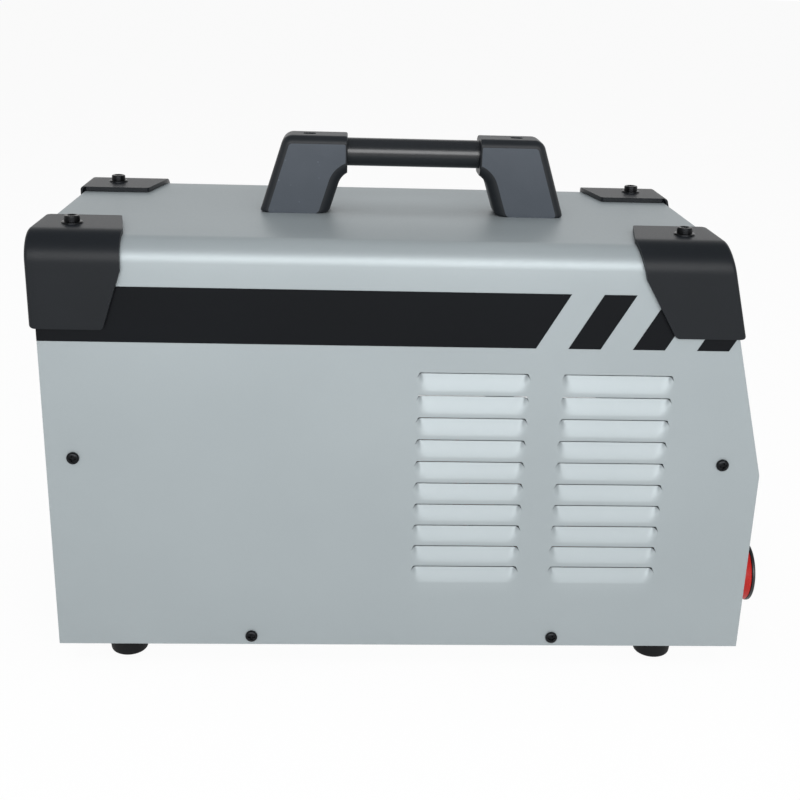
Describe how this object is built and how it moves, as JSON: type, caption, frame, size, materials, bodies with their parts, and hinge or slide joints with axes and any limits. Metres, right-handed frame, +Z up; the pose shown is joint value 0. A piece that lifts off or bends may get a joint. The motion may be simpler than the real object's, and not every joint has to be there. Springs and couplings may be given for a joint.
{
  "type": "stud welder",
  "caption": "Capacitor-discharge stud welder in a louvred sheet-steel case with corner guards, tube handle, rubber feet, sloping control panel, output sockets and rear fan.",
  "frame": {"origin": "middle of the overall box, on the ground plane under the feet", "axes": "+X towards the front panel, +Y away from the side that the picture shows, +Z up"},
  "size_m": [0.494, 0.227, 0.3494],
  "materials": {
    "cover_paint": "satin grey powder coat",
    "panel_paint": "charcoal powder coat",
    "tray_zinc": "zinc-grey coat",
    "stripe_film": "satin black film",
    "guard_plastic": "textured moulded",
    "handle_plastic": "textured moulded",
    "tube_black": "gloss black",
    "screw_black": "black oxide",
    "screw_zinc": "zinc plated",
    "foot_rubber": "moulded",
    "fan_plastic": "moulded",
    "fan_wire": "bright plated wire",
    "switch_black": "moulded",
    "rocker_red": "moulded",
    "inlet_black": "moulded",
    "pin_nickel": "nickel plated",
    "socket_red": "moulded",
    "socket_black": "moulded",
    "contact_brass": "turned",
    "connector_nickel": "nickel plated",
    "connector_insert": "moulded",
    "knob_black": "moulded",
    "control_steel": "plated",
    "bezel_black": "moulded",
    "display_black": "moulded",
    "window_red": "tinted acrylic",
    "lamp_green": "clear tinted lens",
    "lamp_amber": "clear tinted lens",
    "lamp_red": "clear tinted lens",
    "button_green": "moulded",
    "button_red": "moulded",
    "board_green": "solder mask",
    "can_sleeve": "sleeved can",
    "clamp_zinc": "zinc plated",
    "copper": "bare copper",
    "core_steel": "varnished laminations",
    "sink_aluminium": "extruded",
    "thyristor_case": "moulded"
  },
  "bodies": {
    "case": {"base_tray": "tray_zinc", "front_panel": "panel_paint", "rear_panel": "panel_paint", "top_cover": "cover_paint", "stripe_near": "stripe_film", "stripe_far": "stripe_film", "corner_guard_front_near": "guard_plastic", "corner_guard_front_far": "guard_plastic", "corner_guard_rear_near": "guard_plastic", "corner_guard_rear_far": "guard_plastic", "guard_screws": "screw_black", "cover_screws": "screw_black", "foot_front_near": "foot_rubber", "foot_front_far": "foot_rubber", "foot_rear_near": "foot_rubber", "foot_rear_far": "foot_rubber", "foot_screws": "screw_zinc", "handle_post_front": "handle_plastic", "handle_post_rear": "handle_plastic", "handle_tube": "tube_black", "handle_screws": "screw_black", "fan_frame": "fan_plastic", "fan_guard": "fan_wire", "fan_screws": "screw_zinc", "switch_frame": "switch_black", "mains_inlet": "inlet_black", "inlet_pins": "pin_nickel", "socket_positive_housing": "socket_red", "socket_positive_rim": "socket_black", "socket_positive_contact": "contact_brass", "socket_negative_housing": "socket_black", "socket_negative_rim": "socket_black", "socket_negative_contact": "contact_brass", "socket_nuts": "screw_zinc", "gun_connector_shell": "connector_nickel", "gun_connector_insert": "connector_insert", "gun_connector_pins": "contact_brass", "potentiometer": "control_steel", "meter_bezel": "bezel_black", "meter_display": "display_black", "meter_window": "window_red", "lamp_power": "lamp_green", "lamp_charge": "lamp_amber", "lamp_ready": "lamp_red", "button_housings": "control_steel", "control_board": "board_green", "board_spacers": "contact_brass", "capacitor_cans": "can_sleeve", "capacitor_clamp": "clamp_zinc", "busbars": "copper", "output_straps": "copper", "transformer_core": "core_steel", "transformer_winding": "copper", "heat_sink": "sink_aluminium", "thyristor": "thyristor_case"},
    "voltage_knob": {"voltage_knob": "knob_black"},
    "mains_rocker": {"switch_rocker": "rocker_red"},
    "charge_button": {"button_charge": "button_green"},
    "discharge_button": {"button_discharge": "button_red"},
    "fan": {"fan_rotor": "fan_plastic"}
  },
  "joints": [
    {"name": "voltage_knob_turn", "type": "hinge", "parent": "case", "child": "voltage_knob", "pos_m": [0.21349, 0, 0.17984], "axis": [0.9679, 0, 0.2515], "range_deg": [-150, 150]},
    {"name": "mains_rocker_tilt", "type": "hinge", "parent": "case", "child": "mains_rocker", "pos_m": [-0.23845, -0.048, 0.073], "axis": [0, -1, 0], "range_deg": [0, 22]},
    {"name": "charge_button_press", "type": "slide", "parent": "case", "child": "charge_button", "axis": [-0.9679, 0, -0.2515], "range_m": [0, 0.0025], "stiffness_N_per_m": 600},
    {"name": "discharge_button_press", "type": "slide", "parent": "case", "child": "discharge_button", "axis": [-0.9679, 0, -0.2515], "range_m": [0, 0.0025], "stiffness_N_per_m": 600},
    {"name": "fan_spin", "type": "hinge", "parent": "case", "child": "fan", "pos_m": [-0.23945, 0, 0.193], "axis": [1, 0, 0], "continuous": true}
  ]
}
